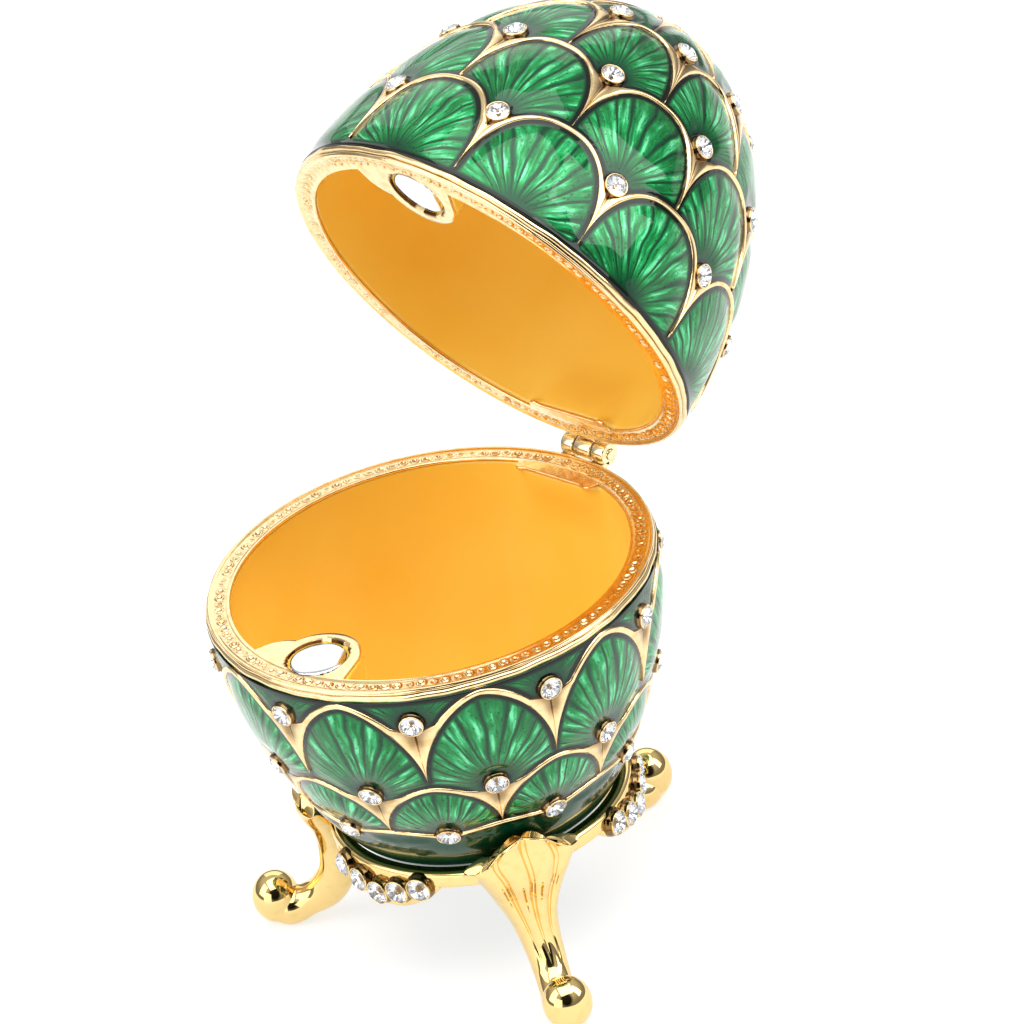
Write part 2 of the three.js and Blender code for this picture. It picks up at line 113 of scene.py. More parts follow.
# attributes are values at the points; backing is a second material and each face's 0 or 1.
def makePiece(name, points, faces, material, body, half, slotName, attributes=None, backing=None):
    mesh = bpy.data.meshes.new(name)
    mesh.from_pydata(place(points, half), [], faces)
    for key, values in (attributes or {}).items():
        values = np.asarray(values, float)
        wide = values.ndim == 2
        layer = mesh.attributes.new(key, "FLOAT_VECTOR" if wide else "FLOAT", "POINT")
        layer.data.foreach_set("vector" if wide else "value", values.ravel())
    mesh.materials.append(material)
    if backing:
        mesh.shade_flat()
        mesh.materials.append(backing[0])
        mesh.polygons.foreach_set("material_index", backing[1])
    else:
        mesh.shade_smooth()
    piece = bpy.data.objects.new(name, mesh)
    bpy.context.collection.objects.link(piece)
    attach(piece, body)
    tidyNormals(piece)
    return piece


# Quads of a grid of rows x columns points; wrapped columns join the last to the first.
def gridFaces(rows, columns, wrapColumns=False, wrapRows=False):
    r = np.arange(rows if wrapRows else rows - 1)
    c = np.arange(columns if wrapColumns else columns - 1)
    a, b = np.meshgrid(r, c, indexing="ij")
    a2, b2 = (a + 1) % rows, (b + 1) % columns
    quads = np.stack([a * columns + b, a * columns + b2, a2 * columns + b2, a2 * columns + b], -1)
    return quads.reshape(-1, 4).tolist()


def joinParts(parts):  # (points, faces) pairs as one pair
    points, faces, offset = [], [], 0
    for p, f in parts:
        points.append(np.asarray(p).reshape(-1, 3))
        faces += [[i + offset for i in face] for face in f]
        offset += len(points[-1])
    return np.concatenate(points), faces


def tidyNormals(piece):  # doubles merged, then every face turned outwards
    work = bmesh.new()
    work.from_mesh(piece.data)
    bmesh.ops.remove_doubles(work, verts=work.verts, dist=1e-6)
    bmesh.ops.dissolve_degenerate(work, edges=work.edges, dist=1e-7)
    bmesh.ops.recalc_face_normals(work, faces=work.faces)
    work.to_mesh(piece.data)
    work.free()


# The egg's outline, in millimetres.
egg = {"radius": 22.4, "widestZ": -0.7, "lidHeight": 34.5, "bowlDepth": 34.0, "powers": (1.7, 1.8),
       "footZ": -31.0, "gap": 0.1, "band": 1.1, "cap": 3.4}


def outerRadius(z, way):
    if way > 0:  # half ellipse
        return egg["radius"] * np.sqrt(np.clip(1 - ((z - egg["widestZ"]) / egg["lidHeight"]) ** 2, 0, 1))
    p, q = egg["powers"]  # superellipse
    down = np.clip(egg["widestZ"] - z, 0, None) / egg["bowlDepth"]
    return egg["radius"] * np.clip(1 - down ** p, 0, 1) ** (1 / q)


def outlineTable(way):
    end = egg["widestZ"] + egg["lidHeight"] if way > 0 else -egg["footZ"]
    up = egg["gap"] + (end - egg["gap"]) * np.sin(np.linspace(0, 1, 801) * np.pi / 2)
    r = outerRadius(up * way, way)
    s = np.concatenate([[0], np.cumsum(np.hypot(np.diff(up), np.diff(r)))])
    return s, up * way, r


outlines = {1: outlineTable(1), -1: outlineTable(-1)}


def distanceOf(z, way):  # distance along the outline, from the parting line, of a height
    s, height, _ = outlines[way]
    return float(np.interp(z * way, height * way, s))


def radiusOf(s, way):
    return np.interp(s, outlines[way][0], outlines[way][2])


# A point of the skin: radius and height at distance s, moved out along the normal by lift.
def skinPoint(azimuth, s, lift, way):
    table, height, radius = outlines[way]
    r, z = np.interp(s, table, radius), np.interp(s, table, height)
    dr, dz = np.gradient(radius, table), np.gradient(height, table)
    nr, nz = np.interp(s, table, dz) * way, -np.interp(s, table, dr) * way
    size = np.hypot(nr, nz)
    r, z = r + lift * nr / size, z + lift * nz / size
    return polar(r, azimuth, z)


def skinFrame(azimuth, s, way):  # place, outward normal and the two directions along the skin
    at = skinPoint(azimuth, s, 0.0, way)
    out = skinPoint(azimuth, s, 1.0, way) - at
    side = np.array([math.cos(azimuth), math.sin(azimuth), 0.0])
    return at, out / np.linalg.norm(out), side, np.cross(side, out)


# Rows of scales from the rim outwards; half is 1 where a row is shifted by half a scale.
scalesRound = 10
pitch = 2 * math.pi / scalesRound
halfPitch = pitch / 2
scaleRows = {
    1: [{"crown": 11.4, "tip": 1.9, "line": 0.47, "stone": 9.3, "half": 0, "power": 2.3},
        {"crown": 20.2, "line": 0.43, "stone": 19.7, "half": 1, "power": 2.3},
        {"crown": 28.0, "line": 0.4, "stone": 28.4, "half": 0, "power": 2.3},
        {"crown": 32.8, "line": 0.38, "half": 1, "power": 2.3}],
    -1: [{"crown": -1.9, "tip": -11.6, "line": 0.6, "stone": -3.9, "half": 1, "power": 1.7},
         {"crown": -13.0, "tip": -19.2, "line": 0.46, "stone": -13.4, "half": 0, "power": 1.7},
         {"crown": -19.7, "tip": -21.2, "line": 0.4, "stone": -20.1, "half": 1, "power": 1.7}],
}
for rowWay, rows in scaleRows.items():
    past = 0
    for row in rows:
        row["sCrown"] = distanceOf(row["crown"], rowWay)
        row["sTip"] = distanceOf(row["tip"], rowWay) if "tip" in row else past
        row["rise"] = row["sCrown"] - row["sTip"]
        past = row["sCrown"] + row["line"] + 0.1
        if "stone" in row:
            row["sStone"] = distanceOf(row["stone"], rowWay)


def stoneAzimuths(row):
    return (np.arange(scalesRound) + (1 - row["half"]) / 2) * pitch


far = 30.0  # millimetres, beyond anything that is measured from a stone or a line


def stoneDistance(way, azimuth, s):  # millimetres to the nearest stone's middle
    away = np.full(np.shape(azimuth), far)
    for row in scaleRows[way]:
        if "stone" in row:
            turns = azimuth / pitch - (1 - row["half"]) / 2
            sideways = (turns - np.round(turns)) * pitch * radiusOf(s, way)
            away = np.minimum(away, np.hypot(sideways, s - row["sStone"]))
    return away


# The last value is how dark the painted shade in the filled foot's hollow is.
goldLine = {"proud": 0.36, "shoulder": 0.35, "root": -0.5, "around": 56, "across": 7,
            "uneven": 0.22, "wobble": 0.07, "armExtra": 0.45, "seed": 4,
            "fillReach": 1.15, "fillSoft": (0.35, -0.15), "fillWide": 0.8, "sag": 0.16,
            "seat": 1.05, "sunk": -0.25, "paintedHollowShade": 0.7}


# One scale's line: a superellipse |u|^p + |v|^p = 1 over its pitch, thickened square to
# itself, and filled to the middle between two scales as far as the stone's cup. The
# section is a low rounded bar, closed below the enamel.
def scaleLine(row, way, centre, phases):
    p, g = row["power"], goldLine
    t = np.linspace(0, np.pi, g["around"])
    u = np.sign(np.cos(t)) * np.abs(np.cos(t)) ** (2 / p)
    v = np.abs(np.sin(t)) ** (2 / p)
    s = row["sTip"] + row["rise"] * v
    r = radiusOf(s, way)
    gu = np.abs(u) ** (p - 1) * np.sign(u) / (halfPitch * r)
    gv = v ** (p - 1) / row["rise"]
    size = np.hypot(gu, gv)
    wave = sum(np.sin(k * t * 2 + phases[k]) for k in range(1, 4)) / 3
    width = row["line"] * (1 + g["uneven"] * wave) + g["armExtra"] * np.abs(u) ** 5
    s = s + g["wobble"] * wave * np.sin(t)
    outU = u + gu / size * width / (halfPitch * r)
    outS = s + gv / size * width
    if "sStone" in row:
        fill = row["sStone"] - way * g["fillReach"]
        into = smooth(*g["fillSoft"], (s - fill) * np.sign(row["rise"]))
        outU = outU * (1 - into) + np.sign(u) * into
        outS = outS * (1 - into) + s * into
    outU = np.clip(outU, -1, 1)
    across = np.linspace(0, 1, g["across"])
    bar = np.concatenate([[0], across, [1]])
    lift = g["proud"] * (1 - np.abs(2 * across - 1) ** 3 * g["shoulder"])
    lift = np.concatenate([[g["root"]], lift, [g["root"]]])
    filled = np.clip((np.abs(outU - u) * halfPitch * r - width) / g["fillWide"], 0, 1)
    hollow = np.concatenate([[0], across, [0]]) ** 1.5
    uu = u[:, None] + (outU - u)[:, None] * bar
    ss = s[:, None] + (outS - s)[:, None] * bar
    ll = lift[None] - g["sag"] * filled[:, None] * hollow
    nearStone = stoneDistance(way, centre + uu * halfPitch, ss) < g["seat"]
    ll = np.where(nearStone, np.minimum(ll, g["sunk"]), ll)
    points = skinPoint(centre + uu * halfPitch, ss, ll, way)
    # Painted shade: the middle of the filled foot's sagging hollow is darkened towards brown.
    deep = filled[:, None] * np.clip(hollow * 2.2 - 0.35, 0, 1) * g["paintedHollowShade"]
    return points, gridFaces(*uu.shape, wrapColumns=True), deep.ravel()


def goldNet(way):
    rng = np.random.default_rng(goldLine["seed"] + way)
    parts = []
    for row in scaleRows[way]:
        for i in range(scalesRound):
            centre = (i + row["half"] / 2) * pitch
            parts.append(scaleLine(row, way, centre, rng.uniform(0, 6.28, 4)))
    points, faces = joinParts([(p, f) for p, f, _ in parts])
    return points, faces, np.concatenate([deep for _, _, deep in parts])


enamel = {"columns": 420, "step": 0.3, "lift": 0.06, "meniscus": 0.14, "meniscusReach": 0.3,
          "dome": 0.34, "domeReach": 1.5, "sunk": -0.2, "depth": 0.5, "innerStep": 6, "seat": 1.15}


# Signed distance from a row's arch curve, about (q - 1) / |grad q| with q the
# superellipse's size; negative inside the scale.
def archDistance(row, way, azimuth, s):
    turns = azimuth / pitch - row["half"] / 2
    u = (turns - np.round(turns)) * 2
    past = (s - row["sTip"]) / row["rise"]
    v = np.clip(past, 1e-3, None)
    p = row["power"]
    q = (np.abs(u) ** p + v ** p) ** (1 / p)
    r = radiusOf(s, way)
    grad = np.hypot((np.abs(u) / q) ** (p - 1) / (halfPitch * r), (v / q) ** (p - 1) / row["rise"])
    end = np.hypot((1 - np.abs(u)) * halfPitch * r, s - row["sTip"])  # to the nearer arm's end
    return np.where(past < 0, -end, (q - 1) / grad), u


# Each point's scale: its fan (angle and distance from the stone at the scale's foot)
# and its distance from the nearest gold.
def enamelFields(way, azimuth, s):
    rows = scaleRows[way]
    shape = azimuth.shape
    fanAngle, fanReach, tone = np.zeros(shape), np.full(shape, far), np.zeros(shape)
    edge = np.abs(s - egg["band"])
    r = radiusOf(s, way)
    distances = [archDistance(row, way, azimuth, s) for row in rows]
    region = np.zeros(shape, int)
    for row, (_, u) in zip(rows, distances):
        arch = row["sTip"] + row["rise"] * (1 - np.abs(u) ** row["power"]) ** (1 / row["power"])
        region += s - arch > 0
    for row, (d, _) in zip(rows, distances):
        edge = np.minimum(edge, np.where(d < 0, -d, np.abs(d - row["line"])))
    underGold = np.zeros(shape, bool)
    for row, (d, _) in zip(rows, distances):  # the filled foot between two scales
        if "sStone" in row:
            ahead = (s - row["sStone"] + way * goldLine["fillReach"]) * np.sign(row["rise"])
            along = (s - row["sTip"]) / row["rise"]
            underGold |= (d > row["line"] * 0.4) & (ahead < -0.2) & (along > 0.03)
    stoneAway = stoneDistance(way, azimuth, s)
    edge = np.minimum(edge, np.abs(stoneAway - enamel["seat"]))
    capAway = np.where(way > 0, outlines[way][0][-1] - s - egg["cap"], far)
    edge = np.minimum(edge, np.abs(capAway))
    for k in range(len(rows) + 1):  # region k lies past k rows of arches
        inside = region == k
        if way > 0:
            crownRow = rows[min(k, len(rows) - 1)]
            foot = rows[k - 1]["sStone"] if k and "sStone" in rows[k - 1] else 0.2
            turns = azimuth / pitch - crownRow["half"] / 2
        else:
            crownRow = rows[max(k - 1, 0)]
            foot = rows[k]["sStone"] if k < len(rows) else rows[-1]["sStone"] + 6
            turns = azimuth / pitch - crownRow["half"] / 2 - (0.5 if k == 0 else 0)
        cell = np.round(turns)
        dx = (turns - cell) * pitch * r
        dy = (s - foot) * way
        fanAngle = np.where(inside, np.arctan2(dx, dy + 1e-6), fanAngle)
        fanReach = np.where(inside, np.hypot(dx, dy), fanReach)
        tone = np.where(inside, (np.mod(cell, scalesRound) * 0.37 + k * 0.61) % 1, tone)
    plainPart = (region == len(rows)) & (way < 0)  # the bowl's underside has no rays
    fanReach = np.where(plainPart, far, fanReach)
    underGold |= (stoneAway < enamel["seat"]) | (capAway < -0.1)
    return fanAngle, fanReach, edge, tone, underGold


# The skin in rings from the rim to the pole or the bowl's flat underside, each cell
# domed away from its gold, then back to the rim a little way behind itself.
def enamelSkin(way):
    length = outlines[way][0][-1]
    s = np.append(np.arange(egg["band"] - 0.1, length, enamel["step"]), length)
    azimuth = evenAngles(enamel["columns"])
    ss, aa = np.meshgrid(s, azimuth, indexing="ij")
    angle, reach, edge, tone, underGold = enamelFields(way, aa, ss)
    lift = enamel["lift"] + enamel["meniscus"] * np.exp(-edge / enamel["meniscusReach"])
    lift = lift + enamel["dome"] * (1 - np.exp(-(edge / enamel["domeReach"]) ** 2))
    lift = np.where(underGold, enamel["sunk"], lift)
    outer = skinPoint(aa, ss, lift, way)
    backS, backA = np.meshgrid(s[::-enamel["innerStep"]], azimuth, indexing="ij")
    inner = skinPoint(backA, backS, np.full_like(backA, -enamel["depth"]), way)
    points = np.concatenate([outer, outer[-1:] * [0, 0, 1], inner[:1] * [0, 0, 1], inner])
    hidden = len(points) - len(outer)
    fields = np.stack([angle, reach, edge], -1)
    fields = np.concatenate([fields, np.repeat(fields[-1:], hidden, 0)])
    tone = np.concatenate([tone, np.repeat(tone[-1:], hidden, 0)])
    faces = gridFaces(len(points), len(azimuth), wrapColumns=True, wrapRows=True)
    return points.reshape(-1, 3), faces, {"fan": fields.reshape(-1, 3), "tone": tone.ravel()}


# Lengths are millimetres from the stone or from the gold, scales are per metre.
glaze = {"bendScale": 240.0, "bend": 0.14, "grooves": 15.0, "grooveWander": 7.0,
         "wanderNoise": (2.6, 0.05, 1.0),
         "groove": (0.05, 0.6), "streakNoise": (12.0, 0.3, 5.0), "streak": (0.32, 0.66, 0.25, 1.0),
         "raysFrom": (1.4, 4.2), "raysTo": (16.0, 11.0), "edgeFade": (0.38, 0.78), "pinHoles": 1800.0,
         "bump": 0.6, "bumpDepth": 0.00025,
         "colours": ((0.0, "#053F26"), (0.25, "#065B2E"), (0.55, "#0A7A39"), (0.78, "#27A55F"),
                     (1.0, "#70E0A2")),
         "holeShades": ((0.14, 0.4), (0.24, 1.0)),
         "edgeShadeColours": ((0.34, "#3A5A52"), (0.52, "#FFFFFF"))}


# Green translucent enamel over a ribbed gold ground. The ground shows as bright rays,
# 0.4 mm wide near the stone and 1.7 mm at the far edge, between thin dark grooves; the
# glass is darkened with painted shade within 0.5 mm of the gold and around the stone,
# has pin holes up to 0.3 mm wide, and a wet gloss.
def greenEnamel():
    material, tree, shader = newMaterial("greenTranslucentEnamel", Roughness=0.32, Metallic=0.5,
                                         Specular_IOR_Level=0.05, Coat_Weight=1.0, Coat_Roughness=0.02,
                                         Coat_IOR=1.4)
    g = glaze
    fan = addNode(tree, "ShaderNodeAttribute", attribute_name="fan")
    tone = addNode(tree, "ShaderNodeAttribute", attribute_name="tone")
    parts = addNode(tree, "ShaderNodeSeparateXYZ", links={0: fan.outputs["Vector"]})
    place3 = addNode(tree, "ShaderNodeTexCoord").outputs["Object"]
    warp = addNode(tree, "ShaderNodeTexNoise", {"Scale": g["bendScale"], "Detail": 1.0}, {"Vector": place3})
    bend = addNode(tree, "ShaderNodeMath", {1: g["bend"], 2: -g["bend"] / 2}, {0: warp.outputs[0]},
                   operation="MULTIPLY_ADD")
    turn = addNode(tree, "ShaderNodeMath", {}, {0: parts.outputs[0], 1: bend.outputs[0]}, operation="ADD")
    shift = addNode(tree, "ShaderNodeMath", {1: 40.0}, {0: tone.outputs["Fac"]}, operation="MULTIPLY")

    def rays(perRadian, perMillimetre, detail):  # noise stretched along the rays
        across = addNode(tree, "ShaderNodeMath", {1: perRadian}, {0: turn.outputs[0]}, operation="MULTIPLY")
        along = addNode(tree, "ShaderNodeMath", {1: perMillimetre}, {0: parts.outputs[1]},
                        operation="MULTIPLY")
        spot = addNode(tree, "ShaderNodeCombineXYZ", {}, {0: across.outputs[0], 1: along.outputs[0],
                                                          2: shift.outputs[0]})
        return addNode(tree, "ShaderNodeTexNoise", {"Scale": 1.0, "Detail": detail, "Roughness": 0.55},
                       {"Vector": spot.outputs[0]}).outputs[0]

    phase = addNode(tree, "ShaderNodeMath", {1: g["grooveWander"]}, {0: rays(*g["wanderNoise"])},
                    operation="MULTIPLY")
    around = addNode(tree, "ShaderNodeMath", {1: g["grooves"]}, {0: turn.outputs[0], 2: phase.outputs[0]},
                     operation="MULTIPLY_ADD")
    wave = addNode(tree, "ShaderNodeMath", {}, {0: around.outputs[0]}, operation="SINE")
    band = addNode(tree, "ShaderNodeMath", {}, {0: wave.outputs[0]}, operation="ABSOLUTE")
    bright = None
    for source, limits, kind in ((band.outputs[0], g["groove"], "SMOOTHSTEP"),
                                 (rays(*g["streakNoise"]), g["streak"], "LINEAR"),
                                 (parts.outputs[1], g["raysFrom"], "SMOOTHSTEP"),
                                 (parts.outputs[1], g["raysTo"], "LINEAR"),
                                 (parts.outputs[2], g["edgeFade"], "SMOOTHSTEP")):
        share = addNode(tree, "ShaderNodeMapRange", dict(enumerate(limits, 1)), {0: source},
                        interpolation_type=kind).outputs[0]
        if bright:
            share = addNode(tree, "ShaderNodeMath", {}, {0: bright, 1: share},
                            operation="MULTIPLY").outputs[0]
        bright = share
    colour = addNode(tree, "ShaderNodeValToRGB", links={0: bright}, stops=g["colours"]).outputs[0]
    holes = addNode(tree, "ShaderNodeTexVoronoi", {"Scale": g["pinHoles"]}, {"Vector": place3})
    # The second layer is painted shade: darker within 0.5 mm of the gold, the stones' cups and the apex
    # cap.
    for source, stops in ((holes.outputs["Distance"], g["holeShades"]),
                          (parts.outputs[2], g["edgeShadeColours"])):
        layer = addNode(tree, "ShaderNodeValToRGB", links={0: source}, stops=stops).outputs[0]
        colour = addNode(tree, "ShaderNodeMix", {0: 1.0}, {6: colour, 7: layer}, data_type="RGBA",
                         blend_type="MULTIPLY").outputs[2]
    tree.links.new(colour, shader.inputs["Base Color"])
    bump = addNode(tree, "ShaderNodeBump", {"Strength": g["bump"], "Distance": g["bumpDepth"]},
                   {"Height": bright})
    tree.links.new(bump.outputs[0], shader.inputs["Normal"])
    return material


# Polished gold plate on a zinc casting: mirror-like, slightly uneven, with brown in its
# pores, and dark brown painted shade wherever the "deep" attribute marks a hollow.
def castingGold(name, colour, deep, roughness):
    material, tree, shader = newMaterial(name, Metallic=1.0, Roughness=roughness)
    place3 = addNode(tree, "ShaderNodeTexCoord").outputs["Object"]
    # Pores 1.1 mm apart and dents 3 mm apart.
    pores = addNode(tree, "ShaderNodeTexNoise", {"Scale": 900.0, "Detail": 4.0}, {"Vector": place3})
    plate = addNode(tree, "ShaderNodeValToRGB", links={0: pores.outputs[0]},
                    stops=((0.3, deep), (0.5, colour)))
    # The "deep" attribute mixes in painted shade, dark brown.
    hollow = addNode(tree, "ShaderNodeAttribute", attribute_name="deep")
    mixed = addNode(tree, "ShaderNodeMix", {7: linear("#4E2C0E")}, {0: hollow.outputs["Fac"],
                                                                 6: plate.outputs[0]},
                    data_type="RGBA", blend_type="MIX")
    tree.links.new(mixed.outputs[2], shader.inputs["Base Color"])
    dents = addNode(tree, "ShaderNodeTexNoise", {"Scale": 330.0, "Detail": 2.0}, {"Vector": place3})
    bump = addNode(tree, "ShaderNodeBump", {"Strength": 0.3, "Distance": 0.0002},
                   {"Height": dents.outputs[0]})
    tree.links.new(bump.outputs[0], shader.inputs["Normal"])
    return material


wall = {"mouth": 20.0, "lip": 0.9, "lidRise": 31.9, "bowlDrop": 28.6, "floor": 7.0}
magnet = {"centre": 17.3, "azimuth": math.radians(3), "pocket": 3.1, "thick": 2.0, "recess": 0.35,
          "face": 0.2, "seen": 2.88, "boss": 4.25, "web": (19.4, math.radians(-7), 3.35), "bossDepth": 5.5}
hingeBoss = {"inner": 18.4, "half": 5.0, "depth": 4.0, "point": 0.28, "pointInset": 0.5, "pointWidth": 0.45,
             "endFade": (-1.6, 1.4), "step": (0.9, 0.3)}
nowhere = 99  # a radius beyond every wall


def wallRadius(depth, way):
    down = np.clip(depth - wall["lip"], 0, None)
    if way > 0:
        return wall["mouth"] * np.sqrt(np.clip(1 - (down / (wall["lidRise"] - wall["lip"])) ** 2, 0, 1))
    p, q = egg["powers"]
    whole = (wall["bowlDrop"] - wall["lip"]) / (1 - (wall["floor"] / wall["mouth"]) ** q) ** (1 / p)
    return wall["mouth"] * np.clip(1 - (down / whole) ** p, 0, 1) ** (1 / q)


# The first wall met going out from the axis: a round boss at distance c is met at
# c cos d - sqrt(R^2 - c^2 sin^2 d), the hinge's flat boss at y / cos d.
def innerRadius(azimuth, depth, way):
    plain = wallRadius(depth, way)
    result = plain
    for c, middle, radius in ((magnet["centre"], magnet["azimuth"], magnet["boss"]), magnet["web"]):
        turn = np.mod(azimuth - middle + np.pi, 2 * np.pi) - np.pi
        inside = radius ** 2 - (c * np.sin(turn)) ** 2
        near = c * np.cos(turn) - np.sqrt(np.clip(inside, 0, None))
        near = np.where((inside > 0) & (np.abs(turn) < 1), near, nowhere)
        ending = smooth(magnet["bossDepth"] - 0.8, magnet["bossDepth"] + 1.5, depth)
        result = np.minimum(result, near + (plain - near) * ending)
    turn = np.mod(azimuth, 2 * np.pi) - np.pi
    h = hingeBoss
    x = np.abs(np.tan(turn)) * h["inner"]
    flat = h["inner"] - h["point"] * np.exp(-((x - h["half"] + h["pointInset"]) / h["pointWidth"]) ** 2)
    flat = np.where((x < h["half"]) & (np.abs(turn) < 1), flat / np.cos(turn), nowhere)
    under = h["inner"] / np.cos(np.clip(turn, -1, 1))
    ends = smooth(h["half"] + h["endFade"][0], h["half"] + h["endFade"][1], x)
    under = under + (plain - under) * np.where(np.abs(turn) < 1, ends, 1)
    under = under + (plain - under) * smooth(0.5, h["depth"] + 3.5, depth)
    flatShare = smooth(*h["step"], depth)
    flat = np.minimum(flat, plain) * flatShare + np.minimum(under, plain) * smooth(*h["step"][::-1], depth)
    return np.minimum(result, flat)


rim = {"columns": 1680, "base": 22.13, "waver": 0.02, "outer": 22.2, "lip": 0.03, "seed": 11,
       "rings": 112, "ringRadius": 21.05, "ringSize": 0.36, "ringWidth": 0.11, "ringHeight": 0.15,
       "pit": 0.1, "pitWidth": 0.19, "rowWidth": 0.62, "bead": 0.05, "channel": 0.13, "channelWidth": 0.75,
       "lowest": 0.02,
       # depth below the rim's top, how far it stands out, how dark the painted shade in its hollow is
       "skirt": [(1.45, -0.5, 0), (1.2, 0.12, 0), (1.07, 0.3, 0), (0.82, 0.36, 0), (0.6, 0.34, 0),
                 (0.5, 0.24, 0), (0.44, 0.02, 0.8), (0.37, 0.02, 0.8), (0.32, 0.2, 0), (0.22, 0.22, 0),
                 (0.1, 0.16, 0), (0.03, 0.05, 0)],
       "back": [(0.06, -0.05), (0.15, -0.07), (0.3, -0.06), (0.36, 0.5), (1.4, 1.2)]}


# The rim's section carried round: bare band, fine groove, rounded shoulder, flat top
# with a row of small punched rings, the magnet's pocket, and the lip behind it.
def rimRing(way):
    rng = np.random.default_rng(rim["seed"] + way)
    azimuth = evenAngles(rim["columns"])
    top = egg["gap"]
    waver = sum(np.sin(azimuth * k + rng.uniform(0, 6.28)) for k in (5, 9, 14, 23, 37)) * rim["waver"]
    skirt = [polar(rim["base"] + lift + (waver if lift > 0.1 else 0), azimuth,
                   (top + depth + waver * 0.4) * way) for depth, lift, _ in rim["skirt"]]
    lip = wall["mouth"] + rim["lip"]
    edgeIn = innerRadius(azimuth, 0.0, way)
    radii = [np.full_like(azimuth, r) for r in np.linspace(rim["outer"], lip, 27)]
    radii += [lip + (edgeIn - lip) * t for t in np.linspace(0, 1, 14)[1:]]
    radii = np.array(radii)
    # Each ring's relief: a raised circle around a small pit, uneven from ring to ring.
    arc = azimuth * rim["rings"] / (2 * np.pi)
    number = np.floor(arc).astype(int) % rim["rings"]
    strength = rng.uniform(0.35, 1.15, rim["rings"])[number]
    squash = rng.uniform(0.8, 1.2, rim["rings"])[number]
    offset = rng.normal(0, 0.07, rim["rings"])[number]
    phase = rng.uniform(0, 2 * np.pi, rim["rings"])[number]
    sideways = (arc - np.floor(arc) - 0.5) * 2 * np.pi / rim["rings"] * rim["ringRadius"] * squash
    inwards = radii - rim["ringRadius"]
    ringAway = np.hypot(sideways[None], inwards - offset[None])
    relief = rim["ringHeight"] * np.exp(-((ringAway - rim["ringSize"]) / rim["ringWidth"]) ** 2)
    relief -= rim["pit"] * np.exp(-(ringAway / rim["pitWidth"]) ** 2)
    broken = np.cos(np.arctan2(inwards, sideways[None]) - phase[None]) > 0.75
    relief = np.where(broken & (relief > 0), relief * 0.35, relief)
    inRow = np.exp(-(inwards / rim["rowWidth"]) ** 6)
    relief = relief * strength * inRow
    relief += rim["bead"] * np.exp(-((radii - rim["outer"] + 0.2) / 0.16) ** 2)
    channel = rim["channel"] * np.exp(-(inwards / rim["channelWidth"]) ** 6)
    height = np.maximum(top + channel - relief, rim["lowest"])
    # The magnet's pocket: the points nearest its edge are drawn onto the circle.
    x, y, _ = np.moveaxis(polar(radii, azimuth, 0.0), -1, 0)
    magnetX, magnetY, _ = polar(magnet["centre"], magnet["azimuth"], 0.0)
    away = np.hypot(x - magnetX, y - magnetY)
    snap = np.abs(away - magnet["pocket"]) < 0.13
    scale = np.where(snap, magnet["pocket"] / np.maximum(away, 1e-6), 1)
    x, y = magnetX + (x - magnetX) * scale, magnetY + (y - magnetY) * scale
    height = np.where(snap, top, height)
    sunk = (away < magnet["pocket"]) & ~snap
    height = np.where(sunk, magnet["thick"] + magnet["recess"], height)
    back = [polar(innerRadius(azimuth, depth, way) + out, azimuth, (top + depth) * way)
            for depth, out in rim["back"]]
    rings = np.concatenate([skirt, np.stack([x, y, height * way], -1), back])
    # Painted shade: dark in each ring's pit and in the crease just outside its raised circle.
    paintedRingShade = 0.85 * np.exp(-(ringAway / 0.17) ** 2)
    paintedRingShade = paintedRingShade + 0.6 * np.exp(-((ringAway - rim["ringSize"] - 0.17) / 0.07) ** 2)
    # Painted shade: the magnet's pocket and its edge are dark brown all over.
    hollow = np.where(sunk | snap, 1.0, paintedRingShade * np.minimum(strength, 1) * inRow)
    # Painted shade along the skirt's groove, from the third value of each row.
    grooves = np.repeat([[paintedHollowShade] for _, _, paintedHollowShade in rim["skirt"]], rim["columns"], 1)
    hollow = np.concatenate([grooves, hollow, np.zeros((len(back), rim["columns"]))])
    faces = gridFaces(len(rings), rim["columns"], wrapColumns=True, wrapRows=True)
    return rings.reshape(-1, 3), faces, hollow.ravel()


lining = {"columns": 360, "rows": 64, "thick": 0.35, "start": 0.3}


# The inner wall as r(azimuth, depth), with the bosses' sides, down to its pole, and a
# second skin a little way behind it.
def liningSkin(way):
    azimuth = evenAngles(lining["columns"])
    start = lining["start"]
    rise = (wall["lidRise"] if way > 0 else wall["bowlDrop"]) - start
    turn = np.linspace(0, np.pi / 2, lining["rows"])
    depth = start + rise * np.sin(turn) ** 1.15
    rings = [(innerRadius(azimuth, d, way), d) for d in depth]
    last = float(wallRadius(depth[-1], way))
    rings += [(last * share, depth[-1]) for share in (0.75, 0.5, 0.25, 0.0)]
    rings.append((0.0, depth[-1] + lining["thick"]))
    rings += [(wallRadius(d, way) + lining["thick"], d) for d in np.linspace(depth[-1], start, 14)[1:]]
    points = np.array([polar(r, azimuth, (d + egg["gap"]) * way) for r, d in rings])
    return points.reshape(-1, 3), gridFaces(len(rings), lining["columns"], wrapColumns=True, wrapRows=True)


